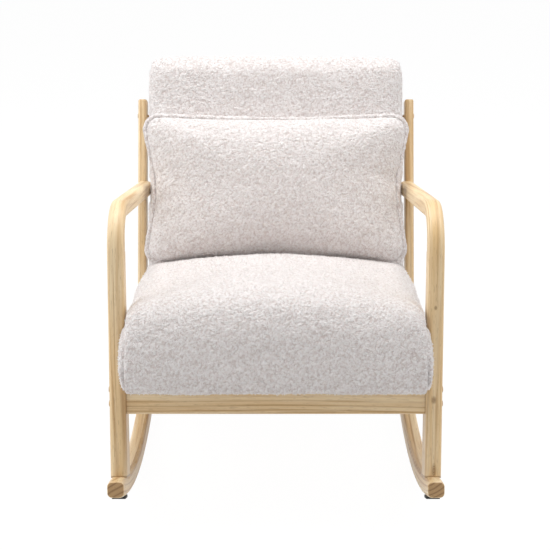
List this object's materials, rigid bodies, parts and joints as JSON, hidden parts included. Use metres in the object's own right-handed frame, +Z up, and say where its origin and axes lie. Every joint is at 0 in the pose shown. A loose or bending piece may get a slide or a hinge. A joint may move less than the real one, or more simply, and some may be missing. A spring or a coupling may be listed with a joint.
{
  "type": "upholstered rocking chair",
  "caption": "Rocking chair on curved wooden rockers, with bent armrests, a thick crowned seat, a padded back and a loose piped lumbar pillow in teddy fabric.",
  "frame": {"origin": "middle of the chair's bounding box, on the floor", "axes": "+Z up, the front faces -Y, +X to the right as seen from the front"},
  "size_m": [0.6448, 0.8864, 0.8106],
  "materials": {
    "rubberwood": "satin",
    "softwood": "matte",
    "plywood": "matte",
    "teddy_fabric": "matte",
    "foam": "matte",
    "webbing": "matte",
    "black_rubber": "matte",
    "tan_bolts": "satin",
    "steel": "satin"
  },
  "bodies": {
    "chair": {"arm_leg_dowels": "softwood", "arm_post_dowels": "softwood", "back_bolts": "tan_bolts", "back_bottom_rail": "softwood", "back_cushion_cover": "teddy_fabric", "back_foam": "foam", "back_frame_dowels": "softwood", "back_inserts": "steel", "back_left_stile": "softwood", "back_right_stile": "softwood", "back_top_rail": "softwood", "back_webbing": "webbing", "corner_blocks": "softwood", "front_rail": "rubberwood", "front_rail_bolts": "tan_bolts", "front_rail_nuts": "steel", "left_armrest": "rubberwood", "left_back_post": "rubberwood", "left_front_leg": "rubberwood", "left_rocker": "rubberwood", "left_side_rail": "softwood", "rear_rail": "softwood", "rear_rail_bolts": "tan_bolts", "rear_rail_nuts": "steel", "right_armrest": "rubberwood", "right_back_post": "rubberwood", "right_front_leg": "rubberwood", "right_rocker": "rubberwood", "right_side_rail": "softwood", "rocker_dowels": "softwood", "rocker_pads": "black_rubber", "seat_cushion_cover": "teddy_fabric", "seat_foam": "foam", "seat_panel": "plywood", "seat_screws": "steel", "side_rail_dowels": "softwood"},
    "pillow": {"lumbar_pillow_cover": "teddy_fabric", "lumbar_pillow_fill": "foam", "lumbar_pillow_piping": "teddy_fabric"}
  },
  "joints": [
    {"name": "lumbar_pillow_lift", "type": "slide", "parent": "chair", "child": "pillow", "axis": [0, 0, 1], "range_m": [0, 0.45]}
  ]
}
